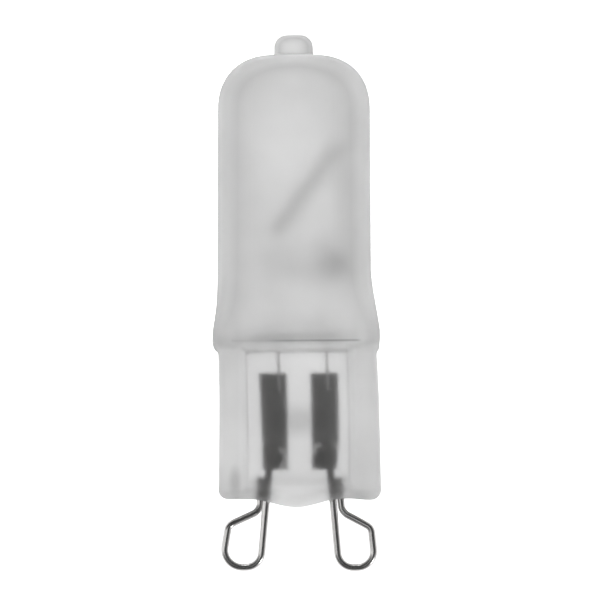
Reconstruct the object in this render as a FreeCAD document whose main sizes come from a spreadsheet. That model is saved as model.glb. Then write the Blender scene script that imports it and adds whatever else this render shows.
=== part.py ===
import FreeCAD, Part
import math
import os
import re

import Sketcher

# A frosted mains halogen capsule bulb, lying on its round tube.
# Frame: the origin is on the lamp's axis at the end of the pinch, +Y runs to
# the sealed tip, +X across the two contact loops, and +Z out of the pinch's
# broad face. All lengths are in millimetres, angles in degrees.

Vector = FreeCAD.Vector

SIZES = (
    ("tube_diameter", 12.35, "blown quartz tube, outside"),
    ("tube_wall", 1.05, "wall of the tube"),
    ("crown_wall", 1.15, "wall at the top of the dome"),
    ("tube_length", 17.25, "from the start of the flare up to the crown"),
    ("dome_radius", 4.2, "rounding between the tube's side and its crown"),
    ("tip_diameter", 3.12, "sealed exhaust tip"),
    ("tip_height", 1.65, "tip above the crown"),
    ("tip_radius", 1.0, "rounding of the tip's top"),
    ("neck_radius", 0.25, "fillet between the crown and the tip"),
    ("pinch_height", 11.6, "flat pinch, from its end up to the flare"),
    ("pinch_top_width", 12.72, "pinch under the flare"),
    ("pinch_end_width", 13.08, "pinch at its end"),
    ("pinch_thickness", 3.6, "over the two side rails"),
    ("rail_round", 0.9, "rounding along the rails' outer edges"),
    ("pinch_corner", 0.65, "corners at the end of the pinch"),
    ("bulge_half_width", 2.9, "glass pressed out between the wires, half its width"),
    ("bulge_peak", 1.1, "where the bulge's two flanks would meet"),
    ("bulge_radius", 6.0, "rounding of the bulge"),
    ("bulge_blend", 1.5, "fillet where the bulge leaves the pinch's end"),
    ("bulge_offset", -0.3, "bulge off the lamp's axis"),
    ("web_thickness", 2.1, "glass left between the two pressed recesses"),
    ("rail_width", 2.11, "side rail, up to the floor of a pressed recess"),
    ("recess_foot", 0.75, "recess above the pinch's end"),
    ("recess_height", 11.05, "floor of a recess, lengthwise"),
    ("recess_corner", 0.6, "corners of the recess floor"),
    ("recess_draft_angle", 20.0, "slope of the recess walls"),
    ("pinch_angle", 86.0, "how far round the end arcs of the oval reach, top of the pinch"),
    ("lip_rise", 0.8, "flare: pinch to the lip under the shoulder"),
    ("lip_extra_width", 0.64, "flare wider than the pinch at the lip"),
    ("lip_share", 0.08, "share of the way from pinch to tube, seen edge on"),
    ("lip_angle", 82.0, "reach of the oval's end arcs at the lip"),
    ("shoulder_rise", 0.8, "flare: lip to the widest place"),
    ("shoulder_extra_width", 0.77, "flare wider than the pinch at its widest"),
    ("shoulder_share", 0.34, "share of the way at the widest place"),
    ("shoulder_angle", 74.0, "reach of the end arcs at the widest place"),
    ("middle_rise", 1.2, "flare: widest place to its middle"),
    ("middle_extra_width", 0.665, "flare at its middle wider than halfway from pinch to tube"),
    ("middle_share", 0.7, "share of the way at the middle"),
    ("middle_angle", 60.0, "reach of the end arcs at the middle"),
    ("upper_rise", 1.6, "flare: middle to its upper part"),
    ("upper_extra_width", 0.38, "flare wider than the tube at its upper part"),
    ("upper_share", 0.92, "share of the way at the upper part"),
    ("upper_angle", 50.0, "reach of the end arcs at the upper part"),
    ("throat_rise", 1.2, "flare: upper part to the last section under the tube"),
    ("throat_extra_width", 0.14, "flare wider than the tube at that section"),
    ("throat_share", 0.988, "share of the way at that section"),
    ("throat_angle", 46.0, "reach of the end arcs at that section"),
    ("flare_rise", 1.2, "flare: last section to the round tube"),
    ("floor_rise", 1.2, "bottom of the cavity above the pinch"),
    ("floor_wall", 1.26, "pinch's side to the bottom of the cavity, across the bulb"),
    ("floor_depth", 1.8, "bottom of the cavity through the bulb"),
    ("floor_angle", 80.0, "reach of the end arcs at the cavity's bottom"),
    ("foil_width", 2.2, "molybdenum sealing foil"),
    ("foil_height", 7.8, "foil along the lamp's axis"),
    ("foil_thickness", 0.06, "foil"),
    ("foil_foot", 2.3, "foil above the pinch's end"),
    ("foil_step", 2.43, "middle of a contact loop in to the middle of its foil"),
    ("foil_offset", 0.1, "middle of the two foils off the axis"),
    ("weld_sink", 0.05, "wires pressed into the foil by the weld"),
    ("lead_diameter", 0.4, "tungsten inner lead"),
    ("lead_step", 2.55, "middle of a contact loop in to its inner lead"),
    ("lead_offset", 0.38, "middle of the two leads off the axis"),
    ("lead_overlap", 1.5, "lead welded along the foil"),
    ("lead_bend", 0.5, "bends of the inner leads"),
    ("lead_tip", 0.4, "end of an inner lead above its weld to the filament"),
    ("wire_diameter", 0.56, "bright outer wire"),
    ("pin_pitch", 9.0, "contact loop to contact loop"),
    ("loop_width", 2.83, "loop across, wire centre to wire centre"),
    ("loop_drop", 5.88, "loops below the pinch's end, overall"),
    ("loop_corner", 1.36, "round end of a loop"),
    ("weld_height", 2.2, "outer wire welded along the foil"),
    ("weld_step", 2.2, "middle of a contact loop in to its wire's welded end"),
    ("loop_neck_drop", 2.15, "top of the loop's outer leg below the glass"),
    ("loop_neck_radius", 0.6, "bend at the top of the outer leg"),
    ("elbow_drop", 1.2, "bend where the loop turns back up"),
    ("elbow_radius", 0.55, "rounding of that bend"),
    ("tail_step", 1.14, "middle of a contact loop in to the wire's returning end"),
    ("tail_depth", 1.4, "returning end sunk in the glass"),
    ("bridge_diameter", 2.3, "quartz bridge rod"),
    ("bridge_gap", 1.225, "end of the bridge rod to the tube's wall, if the rod were central"),
    ("bridge_level", 18.8, "bridge rod above the pinch's end"),
    ("bridge_offset", 0.25, "bridge rod off the axis"),
    ("bridge_chamfer", 0.3, "ends of the bridge rod"),
    ("lead_rise", 1.6, "where the inner leads bend, above the bridge's centre"),
    ("lead_slope", 0.55, "rise of the inner leads between their two bends"),
    ("coil_left_gap", 3.625, "lower end of the filament to the tube's wall, on the left"),
    ("coil_left_y", 21.4, "lower end of the filament above the pinch's end"),
    ("coil_left_z", 2.4, "lower end of the filament in front of the axis"),
    ("coil_right_gap", 1.375, "upper end of the filament to the tube's wall, on the right"),
    ("coil_right_y", 28.4, "upper end of the filament above the pinch's end"),
    ("coil_right_z", 1.5, "upper end of the filament in front of the axis"),
    ("coil_radius", 0.4, "filament coil, centre line"),
    ("coil_wire", 0.27, "primary coil that the filament is wound from, drawn square"),
    ("coil_turns", 14, "turns of the filament"),
    ("coil_tail", 0.9, "straight ends of the filament"),
)

doc = FreeCAD.newDocument("halogen_capsule")
sheet = doc.addObject("Spreadsheet::Sheet", "Sizes")
for row, (alias, value, note) in enumerate(SIZES, start=1):
    sheet.set("A%d" % row, alias)
    sheet.set("B%d" % row, str(value))
    sheet.set("C%d" % row, note)
    sheet.setAlias("B%d" % row, alias)
doc.recompute()


def bound(formula):
    """The formula with every size in it named as the sheet's cell."""
    names = {alias for alias, value, note in SIZES}
    return re.sub("[a-z_]+", lambda word: "Sizes." + word[0] if word[0] in names else word[0], formula)


def number(formula):
    """What a formula of sizes comes to, as a plain number."""
    value = sheet.evalExpression(formula)
    return float(getattr(value, "Value", value))


def dimension(sketch, kind, where, formula):
    """Adds a constraint whose size is bound to the sheet."""
    index = sketch.addConstraint(Sketcher.Constraint(kind, *where, number(formula)))
    sketch.setExpression("Constraints[%d]" % index, bound(formula))


def pin(sketch, geometry, end, x, y):
    """Holds a point of the sketch at x, y; a plain 0 puts it on the axis."""
    for kind, axis, formula in (("DistanceX", -2, x), ("DistanceY", -1, y)):
        if formula == "0":
            sketch.addConstraint(Sketcher.Constraint("PointOnObject", geometry, end, axis))
        else:
            dimension(sketch, kind, (-1, 1, geometry, end), formula)


def new_sketch(body, name, plane, level=None):
    """A sketch on one of the body's own planes, at a level above it."""
    sketch = body.newObject("Sketcher::SketchObject", name)
    planes = {feature.Role: feature for feature in body.Origin.OriginFeatures}
    sketch.AttachmentSupport = [(planes[plane], "")]
    sketch.MapMode = "FlatFace"
    if level is not None:
        sketch.setExpression("AttachmentOffset.Base.z", bound(level))
        doc.recompute()
    return sketch


def draw(sketch, corners, closed=True):
    """Straight runs between corners (x, y, radius), tangent arcs at the rounded ones."""
    points = [Vector(number(x), number(y), 0) for x, y, radius in corners]
    count = len(corners)
    runs_in = [None] * count
    runs_out = [None] * count
    arcs = {}
    for i, (x, y, radius) in enumerate(corners):
        runs_in[i] = runs_out[i] = points[i]
        if radius is None:
            continue
        back = (points[i - 1] - points[i]).normalize()
        ahead = (points[(i + 1) % count] - points[i]).normalize()
        half = math.acos(back.dot(ahead)) / 2
        size = number(radius)
        runs_in[i] = points[i] + back * (size / math.tan(half))
        runs_out[i] = points[i] + ahead * (size / math.tan(half))
        centre = points[i] + (back + ahead).normalize() * (size / math.sin(half))
        turns_left = ahead.cross(back).z > 0
        begin, finish = (runs_in[i], runs_out[i]) if turns_left else (runs_out[i], runs_in[i])
        angles = [math.atan2(point.y - centre.y, point.x - centre.x) for point in (begin, finish)]
        circle = Part.Circle(centre, Vector(0, 0, 1), size)
        arcs[i] = (Part.ArcOfCircle(circle, *angles), turns_left)
    runs = {}
    for i in range(count if closed else count - 1):
        after = (i + 1) % count
        runs[i] = sketch.addGeometry(Part.LineSegment(runs_out[i], runs_in[after]))
    for i, (x, y, radius) in enumerate(corners):
        before = (i - 1) % count
        if radius is None:
            if before in runs and i in runs:
                sketch.addConstraint(Sketcher.Constraint("Coincident", runs[before], 2, runs[i], 1))
            if i in runs:
                pin(sketch, runs[i], 1, x, y)
            else:
                pin(sketch, runs[before], 2, x, y)
            continue
        corner = sketch.addGeometry(Part.Point(points[i]), True)
        pin(sketch, corner, 1, x, y)
        sketch.addConstraint(Sketcher.Constraint("PointOnObject", corner, 1, runs[before]))
        sketch.addConstraint(Sketcher.Constraint("PointOnObject", corner, 1, runs[i]))
        shape, turns_left = arcs[i]
        arc = sketch.addGeometry(shape)
        first, last = (1, 2) if turns_left else (2, 1)
        sketch.addConstraint(Sketcher.Constraint("Tangent", runs[before], 2, arc, first))
        sketch.addConstraint(Sketcher.Constraint("Tangent", arc, last, runs[i], 1))
        dimension(sketch, "Radius", (arc,), radius)


def draw_ring(sketch, diameter):
    """A circle in four arcs, to loft into an oval of four arcs."""
    radius = number(diameter) / 2
    arcs = []
    for quarter in range(4):
        begin = math.radians(90 * quarter - 45)
        circle = Part.Circle(Vector(0, 0, 0), Vector(0, 0, 1), radius)
        arcs.append(sketch.addGeometry(Part.ArcOfCircle(circle, begin, begin + math.pi / 2)))
    for quarter, arc in enumerate(arcs):
        after = arcs[(quarter + 1) % 4]
        sketch.addConstraint(Sketcher.Constraint("Coincident", arc, 2, after, 1))
        sketch.addConstraint(Sketcher.Constraint("Coincident", arc, 3, -1, 1))
    dimension(sketch, "Radius", (arcs[0],), "(%s) / 2" % diameter)
    dimension(sketch, "DistanceX", (-1, 1, arcs[0], 2), "(%s) / 2 * sqrt(0.5)" % diameter)
    sketch.addConstraint(Sketcher.Constraint("Horizontal", arcs[0], 2, arcs[2], 1))
    sketch.addConstraint(Sketcher.Constraint("Vertical", arcs[0], 2, arcs[0], 1))
    sketch.addConstraint(Sketcher.Constraint("Vertical", arcs[2], 1, arcs[2], 2))


def draw_oval(sketch, width, depth, angle):
    """An oval of two broad arcs and two end arcs, tangent where the end arcs reach that angle."""
    share = "( 1 - sin( %s ) ) / cos( %s )" % (angle, angle)
    end_radius = "( (%s) - (%s) * (%s) ) / 2 / ( 1 - (%s) )" % (depth, share, width, share)
    lean = math.radians(number(angle))
    half_width = number(width) / 2
    half_depth = number(depth) / 2
    end = number(end_radius)
    broad = end + (half_width - end) / math.cos(lean)
    spans = (
        (Vector(half_width - end, 0, 0), end, -lean, lean),
        (Vector(0, half_depth - broad, 0), broad, lean, math.pi - lean),
        (Vector(end - half_width, 0, 0), end, math.pi - lean, math.pi + lean),
        (Vector(0, broad - half_depth, 0), broad, math.pi + lean, 2 * math.pi - lean),
    )
    arcs = []
    for centre, radius, begin, finish in spans:
        circle = Part.Circle(centre, Vector(0, 0, 1), radius)
        arcs.append(sketch.addGeometry(Part.ArcOfCircle(circle, begin, finish)))
    for i, arc in enumerate(arcs):
        joint = "Tangent" if i < 3 else "Coincident"
        sketch.addConstraint(Sketcher.Constraint(joint, arc, 2, arcs[(i + 1) % 4], 1))
    for arc, axis in zip(arcs, (-1, -2, -1)):
        sketch.addConstraint(Sketcher.Constraint("PointOnObject", arc, 3, axis))
    sketch.addConstraint(Sketcher.Constraint("Equal", arcs[0], arcs[2]))
    sketch.addConstraint(Sketcher.Constraint("Equal", arcs[1], arcs[3]))
    dimension(sketch, "Radius", (arcs[0],), end_radius)
    dimension(sketch, "DistanceX", (-1, 1, arcs[0], 3), "(%s) / 2 - %s" % (width, end_radius))
    top = sketch.addGeometry(Part.Point(Vector(0, half_depth, 0)), True)
    pin(sketch, top, 1, "0", "(%s) / 2" % depth)
    sketch.addConstraint(Sketcher.Constraint("PointOnObject", top, 1, arcs[1]))


def new_body(name):
    return doc.addObject("PartDesign::Body", name)


def feature(body, kind, name, **settings):
    item = body.newObject(kind, name)
    for key, value in settings.items():
        setattr(item, key, value)
    return item


def cut(name, base, tool):
    """What is left of base where tool isn't."""
    item = doc.addObject("Part::Cut", name)
    item.Base = base
    item.Tool = tool
    return item


def fuse(name, shapes):
    item = doc.addObject("Part::MultiFuse", name)
    item.Shapes = shapes
    return item


def pipe(body, diameter, corners):
    """A round wire bent along a flat path."""
    path = new_sketch(body, body.Name + "_path", "XY_Plane")
    draw(path, corners, closed=False)
    doc.recompute()
    section = body.newObject("Sketcher::SketchObject", body.Name + "_section")
    section.AttachmentSupport = [(path, "Edge1")]
    section.MapMode = "NormalToEdge"
    ring = section.addGeometry(Part.Circle(Vector(0, 0, 0), Vector(0, 0, 1), number(diameter) / 2))
    section.addConstraint(Sketcher.Constraint("Coincident", ring, 3, -1, 1))
    dimension(section, "Diameter", (ring,), diameter)
    doc.recompute()
    return feature(body, "PartDesign::AdditivePipe", body.Name + "_wire",
                   Profile=(section, [""]), Spine=(path, []))


# Levels and widths of the flare, from the pinch up to the round tube
LIP = "pinch_height + lip_rise"
SHOULDER = LIP + " + shoulder_rise"
MIDDLE = SHOULDER + " + middle_rise"
UPPER = MIDDLE + " + upper_rise"
THROAT = UPPER + " + throat_rise"
TUBE_START = THROAT + " + flare_rise"
CROWN = TUBE_START + " + tube_length"

# Inside radius of the tube, and the two ends of the filament in it
BORE = "( tube_diameter / 2 - tube_wall )"
COIL_ENDS = {
    "left": ("( coil_left_gap - %s )" % BORE, "coil_left_y", "coil_left_z"),
    "right": ("( %s - coil_right_gap )" % BORE, "coil_right_y", "coil_right_z"),
}


def flare_section(name, level, base):
    """Level, width, depth and arc angle of one of the flare's named sections."""
    depth = "pinch_thickness + ( tube_diameter - pinch_thickness ) * %s_share" % name
    return level, "%s + %s_extra_width" % (base, name), depth, name + "_angle"


SHOULDERS = (
    ("pinch_height", "pinch_top_width", "pinch_thickness", "pinch_angle"),
    flare_section("lip", LIP, "pinch_top_width"),
    flare_section("shoulder", SHOULDER, "pinch_top_width"),
)
FLARE = (
    flare_section("middle", MIDDLE, "( pinch_top_width + tube_diameter ) / 2"),
    flare_section("upper", UPPER, "tube_diameter"),
    flare_section("throat", THROAT, "tube_diameter"),
)


def loft(body, name, kind, sections, ring_diameter):
    """Lofts ovals (level, width, depth, angle) up into the round tube."""
    sketches = []
    for i, (level, width, depth, angle) in enumerate(sections):
        sketch = new_sketch(body, "%s_%d" % (name, i), "XZ_Plane", "-(%s)" % level)
        draw_oval(sketch, width, depth, angle)
        sketches.append(sketch)
    ring = new_sketch(body, name + "_ring", "XZ_Plane", "-(%s)" % TUBE_START)
    draw_ring(ring, ring_diameter)
    sketches.append(ring)
    doc.recompute()
    return feature(body, kind, name, Profile=(sketches[0], [""]),
                   Sections=[(sketch, [""]) for sketch in sketches[1:]])


def edges_where(shape, test):
    """Names of the edges whose every vertex passes the test."""
    return ["Edge%d" % i for i, edge in enumerate(shape.Edges, start=1)
            if all(test(vertex.Point) for vertex in edge.Vertexes)]


def glass_body():
    """The quartz envelope before its wires: pinch, flare, tube, dome and tip."""
    body = new_body("pinched_tube")

    # Flat pinch, with the glass pressed out between the wires at its end
    outline = new_sketch(body, "pinch_outline", "XY_Plane")
    top = "pinch_height + lip_rise / 2"
    draw(outline, (
        ("pinch_top_width / 2", top, None),
        ("pinch_end_width / 2", "0", "pinch_corner"),
        ("bulge_offset + bulge_half_width", "0", "bulge_blend"),
        ("bulge_offset", "-bulge_peak", "bulge_radius"),
        ("bulge_offset - bulge_half_width", "0", "bulge_blend"),
        ("-pinch_end_width / 2", "0", "pinch_corner"),
        ("-pinch_top_width / 2", top, None),
    ))
    pinch = feature(body, "PartDesign::Pad", "pinch", Profile=(outline, [""]), Midplane=True)
    pinch.setExpression("Length", bound("pinch_thickness"))
    doc.recompute()
    half = number("pinch_thickness") / 2
    level = number(top)
    rims = edges_where(pinch.Shape, lambda point: abs(abs(point.z) - half) < 1e-6)
    rims = [name for name in rims
            if pinch.Shape.getElement(name).BoundBox.YMin < level - 1e-6]
    rounded = feature(body, "PartDesign::Fillet", "pinch_rounding", Base=(pinch, rims))
    rounded.setExpression("Radius", bound("rail_round"))
    doc.recompute()

    # Flare from the pinch up to the round tube
    loft(body, "flare", "PartDesign::AdditiveLoft", SHOULDERS + FLARE, "tube_diameter")
    doc.recompute()

    # Tube, dome and sealed tip, turned about the lamp's axis
    profile = new_sketch(body, "tube_profile", "XY_Plane")
    tip_top = CROWN + " + tip_height"
    draw(profile, (
        ("0", TUBE_START, None),
        ("tube_diameter / 2", TUBE_START, None),
        ("tube_diameter / 2", CROWN, "dome_radius"),
        ("tip_diameter / 2", CROWN, "neck_radius"),
        ("tip_diameter / 2", tip_top, "tip_radius"),
        ("0", tip_top, None),
    ))
    doc.recompute()
    feature(body, "PartDesign::Revolution", "tube", Profile=(profile, [""]),
            ReferenceAxis=(profile, ["V_Axis"]), Angle=360.0)
    doc.recompute()

    # The press leaves a thin web between two thick rails, on both faces
    for side, sign in (("front", 1), ("back", -1)):
        floor = new_sketch(body, "recess_%s" % side, "XY_Plane", "%d * web_thickness / 2" % sign)
        right = "pinch_top_width / 2 - rail_width"
        left = "rail_width - pinch_top_width / 2"
        draw(floor, (
            (right, "recess_foot", "recess_corner"),
            (left, "recess_foot", "recess_corner"),
            (left, "recess_foot + recess_height", "recess_corner"),
            (right, "recess_foot + recess_height", "recess_corner"),
        ))
        doc.recompute()
        recess = feature(body, "PartDesign::Pocket", side + "_recess", Profile=(floor, [""]),
                         Reversed=sign > 0)
        recess.setExpression("Length", bound("pinch_thickness"))
        recess.setExpression("TaperAngle", bound("recess_draft_angle"))
        doc.recompute()

    # Cavity: round in the tube, flattened to a slot at its bottom
    hollow = new_sketch(body, "cavity_profile", "XY_Plane")
    draw(hollow, (
        ("0", TUBE_START, None),
        (BORE, TUBE_START, None),
        (BORE, CROWN + " - crown_wall", "dome_radius - tube_wall"),
        ("0", CROWN + " - crown_wall", None),
    ))
    doc.recompute()
    feature(body, "PartDesign::Groove", "cavity", Profile=(hollow, [""]),
            ReferenceAxis=(hollow, ["V_Axis"]), Angle=360.0)
    doc.recompute()
    inner = [(level, "%s - 2 * tube_wall" % width, "%s - 2 * tube_wall" % depth, angle)
             for level, width, depth, angle in FLARE]
    floor_width = "pinch_top_width - 2 * floor_wall"
    inner.insert(0, ("pinch_height + floor_rise", floor_width, "floor_depth", "floor_angle"))
    loft(body, "cavity_foot", "PartDesign::SubtractiveLoft", inner, "2 * " + BORE)
    doc.recompute()
    return body


def foil(name, side):
    """One sealing foil, behind the wires so that they are welded to its face."""
    item = doc.addObject("Part::Box", name)
    item.setExpression("Length", bound("foil_width"))
    item.setExpression("Width", bound("foil_height"))
    item.setExpression("Height", bound("foil_thickness"))
    item.setExpression("Placement.Base.x",
                       bound("foil_offset + %d * ( pin_pitch / 2 - foil_step ) - foil_width / 2" % side))
    item.setExpression("Placement.Base.y", bound("foil_foot"))
    item.setExpression("Placement.Base.z", bound("weld_sink - wire_diameter / 2 - foil_thickness"))
    return item


def contact_loop(name, side):
    """Wire from the foil down, round the contact loop and back into the glass."""
    body = new_body(name + "_wire")
    corners = (
        ("pin_pitch / 2 - weld_step", "foil_foot + weld_height", None),
        ("pin_pitch / 2 - loop_width / 2", "wire_diameter / 2 - loop_drop", "loop_corner"),
        ("pin_pitch / 2 + loop_width / 2", "wire_diameter / 2 - loop_drop", "loop_corner"),
        ("pin_pitch / 2 + loop_width / 2", "-loop_neck_drop", "loop_neck_radius"),
        ("pin_pitch / 2 - tail_step", "-elbow_drop", "elbow_radius"),
        ("pin_pitch / 2 - tail_step", "tail_depth", None),
    )
    mirrored = [("%d * ( %s )" % (side, x), y, radius) for x, y, radius in corners]
    pipe(body, "wire_diameter", mirrored)
    return body


def inner_lead(name, side, end_x, end_y, end_z):
    """Straight up from the foil and through the bridge, then out to the filament."""
    body = new_body(name + "_wire")
    across = "lead_offset + %d * ( pin_pitch / 2 - lead_step )" % side
    behind = "weld_sink - wire_diameter / 2 + lead_diameter / 2 - weld_sink / 2"
    run = "sqrt( ( %s - ( %s ) ) ^ 2 + ( %s - ( %s ) ) ^ 2 )" % (end_x, across, end_z, behind)
    pipe(body, "lead_diameter", (
        ("0", "foil_foot + foil_height - lead_overlap", None),
        ("0", "bridge_level + lead_rise", "lead_bend"),
        (run, "bridge_level + lead_rise + lead_slope", "lead_bend"),
        (run, "%s + lead_tip" % end_y, None),
    ))
    turn = "-atan2( %s - ( %s ) ; %s - ( %s ) )" % (end_z, behind, end_x, across)
    place = "placement( vector( %s ; 0 ; %s ) ; rotation( vector( 0 ; 1 ; 0 ) ; %s ) )"
    body.setExpression("Placement", bound(place % (across, behind, turn)))
    return body


def draw_square(sketch, middle, side):
    """A square about a point of the sketch's X axis."""
    half = "(%s) / 2" % side
    draw(sketch, [("%s %s %s" % (middle, across, half), up + half, None)
                  for across, up in (("-", "-"), ("+", "-"), ("+", ""), ("-", ""))])


def filament_coil():
    """Coiled filament between the two leads, wound about a line beside its own ends."""
    body = new_body("filament_wire")
    gaps = ["%s - %s" % (right, left) for left, right in zip(COIL_ENDS["left"], COIL_ENDS["right"])]
    span = "sqrt( ( %s ) ^ 2 + ( %s ) ^ 2 + ( %s ) ^ 2 )" % tuple(gaps)
    section = new_sketch(body, "coil_section", "XY_Plane")
    draw_square(section, "coil_tail", "coil_wire")
    height = number("coil_radius")
    line = Part.LineSegment(Vector(0, height, 0), Vector(number(span), height, 0))
    centre_line = section.addGeometry(line, True)
    pin(section, centre_line, 1, "0", "coil_radius")
    pin(section, centre_line, 2, span, "coil_radius")
    doc.recompute()
    coil = feature(body, "PartDesign::AdditiveHelix", "coil", Profile=(section, [""]),
                   ReferenceAxis=(section, ["Axis0"]), Mode="height-turns-angle")
    coil.setExpression("Height", bound("%s - 2 * coil_tail" % span))
    coil.setExpression("Turns", bound("coil_turns"))
    doc.recompute()
    for name, level in (("first_tail", "0"), ("last_tail", "%s - coil_tail" % span)):
        end = new_sketch(body, name + "_section", "YZ_Plane", level)
        draw_square(end, "0", "coil_wire")
        doc.recompute()
        tail = feature(body, "PartDesign::Pad", name, Profile=(end, [""]))
        tail.setExpression("Length", bound("coil_tail"))
        doc.recompute()
    yaw = "atan2( %s ; %s )" % (gaps[1], gaps[0])
    pitch = "-asin( ( %s ) / ( %s ) )" % (gaps[2], span)
    base = "vector( %s ; %s ; %s )" % COIL_ENDS["left"]
    body.setExpression("Placement", bound("placement( %s ; rotation( %s ; %s ; 0 ) )" % (base, yaw, pitch)))
    return body


def bridge_rod():
    """Quartz rod across the bulb, its ends chamfered."""
    body = new_body("bridge_rod")
    profile = new_sketch(body, "bridge_profile", "XY_Plane")
    radius = "bridge_diameter / 2"
    half = "( %s - bridge_gap )" % BORE
    draw(profile, (
        ("-" + half, "0", None),
        (half, "0", None),
        (half, radius + " - bridge_chamfer", None),
        (half + " - bridge_chamfer", radius, None),
        ("bridge_chamfer - " + half, radius, None),
        ("-" + half, radius + " - bridge_chamfer", None),
    ))
    doc.recompute()
    feature(body, "PartDesign::Revolution", "bridge", Profile=(profile, [""]),
            ReferenceAxis=(profile, ["H_Axis"]), Angle=360.0)
    body.setExpression("Placement.Base.x", bound("bridge_offset"))
    body.setExpression("Placement.Base.y", bound("bridge_level"))
    return body


# Metal in the pinch and below it
foils = {}
loops = {}
leads = {}
for word, side in (("left", -1), ("right", 1)):
    foils[word] = foil("molybdenum_foil_" + word, side)
    wire = contact_loop("contact_loop_" + word, side)
    loops[word] = cut("contact_loop_" + word, wire, foils[word])
    wire = inner_lead("inner_lead_" + word, side, *COIL_ENDS[word])
    leads[word] = cut("inner_lead_" + word, wire, foils[word])
doc.recompute()

# Bridge rod, fused round both leads
lead_pair = fuse("lead_pair", [leads["left"], leads["right"]])
bridge = cut("quartz_bridge", bridge_rod(), lead_pair)

# Filament, welded to the tops of the leads
filament = cut("filament", filament_coil(), lead_pair)

# Envelope, with the metal sealed in its pinch
sealed_in = fuse("sealed_in", list(foils.values()) + list(loops.values()) + list(leads.values()))
envelope = cut("quartz_envelope", glass_body(), sealed_in)
doc.recompute()

pieces = [envelope, bridge, filament]
pieces += list(foils.values()) + list(loops.values()) + list(leads.values())
for piece in pieces:
    piece.Label = piece.Name

for item in doc.Objects:
    if "Invalid" in item.State or "Error" in item.State:
        raise RuntimeError("%s did not build: %s" % (item.Name, item.State))
for piece in pieces:
    if piece.Shape.isNull() or not piece.Shape.isValid() or len(piece.Shape.Solids) != 1:
        raise RuntimeError("%s is not one good solid" % piece.Label)

os.makedirs("parts", exist_ok=True)
for piece in pieces:
    piece.Shape.exportStep("parts/%s.step" % piece.Label)
    box = piece.Shape.optimalBoundingBox()
    print("%-24s volume %9.3f  x %7.2f %7.2f  y %7.2f %7.2f  z %7.2f %7.2f"
          % (piece.Label, piece.Shape.Volume, box.XMin, box.XMax, box.YMin, box.YMax, box.ZMin, box.ZMax))
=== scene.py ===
# %% [markdown]
# # A halogen capsule bulb
# The real thing is a small mains lamp, 43 mm long: a quartz tube, closed at the
# top by a dome with a sealed tip and pressed flat at the foot, where two foils
# and two wire loops carry the current in. The glass is etched white outside,
# so everything inside it shows only as soft grey shadows.
# We build it piece by piece over the measured model, in metres, with the
# lamp's axis along +Y and its broad face towards +Z.

# %% Start: load the measured model
import math
import bmesh
import bpy
from mathutils import Matrix, Vector


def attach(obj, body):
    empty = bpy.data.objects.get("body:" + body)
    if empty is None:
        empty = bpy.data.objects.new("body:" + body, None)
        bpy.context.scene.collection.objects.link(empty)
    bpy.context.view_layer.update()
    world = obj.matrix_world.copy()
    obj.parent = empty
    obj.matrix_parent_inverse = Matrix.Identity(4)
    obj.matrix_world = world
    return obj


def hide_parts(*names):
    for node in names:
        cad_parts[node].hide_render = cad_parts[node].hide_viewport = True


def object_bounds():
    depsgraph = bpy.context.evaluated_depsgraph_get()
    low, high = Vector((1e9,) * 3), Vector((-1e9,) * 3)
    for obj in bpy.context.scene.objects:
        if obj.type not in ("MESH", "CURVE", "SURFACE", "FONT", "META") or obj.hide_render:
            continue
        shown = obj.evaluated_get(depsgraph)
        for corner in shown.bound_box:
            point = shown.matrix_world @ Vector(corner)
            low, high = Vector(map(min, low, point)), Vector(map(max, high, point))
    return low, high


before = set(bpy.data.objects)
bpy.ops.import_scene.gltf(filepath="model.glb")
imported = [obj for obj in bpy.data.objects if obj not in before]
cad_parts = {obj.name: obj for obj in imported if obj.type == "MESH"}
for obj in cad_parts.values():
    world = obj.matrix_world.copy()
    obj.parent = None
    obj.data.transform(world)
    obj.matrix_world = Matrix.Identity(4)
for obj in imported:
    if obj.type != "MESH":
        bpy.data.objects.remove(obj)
cad_low, cad_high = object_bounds()
MM = 0.001
print("measured model", [round(c / MM, 2) for c in (*cad_low, *cad_high)], "mm")

# %% [markdown]
# ## Small helpers for materials
# A material is a tree of nodes. It could be drawn by hand in the shader editor, but as code it can
# be read from top to bottom. A shader works with linear light, while a colour is given as an sRGB
# hex code, so one function converts it. Another adds a node with its settings and its incoming
# links in one line. A setting is called by its name, or by its number where several sockets share a
# name: on a Mix node 0 is the share, 6 and 7 are the colours.


# %% Helpers for materials
def colour(code):
    """The linear colour of an sRGB hex code."""
    parts = [int(code[i:i + 2], 16) / 255 for i in (1, 3, 5)]
    linear = [p / 12.92 if p <= 0.04045 else ((p + 0.055) / 1.055) ** 2.4 for p in parts]
    return (*linear, 1.0)


def add(tree, kind, settings=None, links=None):
    """A node of one kind, with its settings and what feeds its sockets."""
    node = tree.nodes.new(kind)
    for name, value in (settings or {}).items():
        if name == "stops":
            stops = node.color_ramp.elements
            while len(stops) < len(value):
                stops.new(0.5)
            for stop, (place, code) in zip(stops, value):
                stop.position = place
                stop.color = colour(code)
        elif isinstance(name, int) or name in node.inputs:
            node.inputs[name].default_value = value
        else:
            setattr(node, name, value)
    for name, source in (links or {}).items():
        tree.links.new(source, node.inputs[name])
    return node


def material(name):
    """A new material, its node tree and its Principled node."""
    made = bpy.data.materials.new(name)
    made.use_nodes = True
    return made, made.node_tree, made.node_tree.nodes["Principled BSDF"]


print("helpers ready")

# %% [markdown]
# ## Etched quartz: pits
# The tube is dipped in acid until its outer skin is a field of tiny pits.
# Light still goes through, but every ray is scattered, and a part comes back
# as if from a white paint. So the surface is mostly transmission with a high
# roughness, and the rest is plain diffuse white.
# The pits are about 0.02 mm wide. Modelling them would take millions of faces,
# so they are a bump, too low to see as lumps, and about 0.1 mm wide, because
# finer ones wouldn't show. The roughness drifts over some 8 mm, because a bath
# never etches quite evenly.

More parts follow.
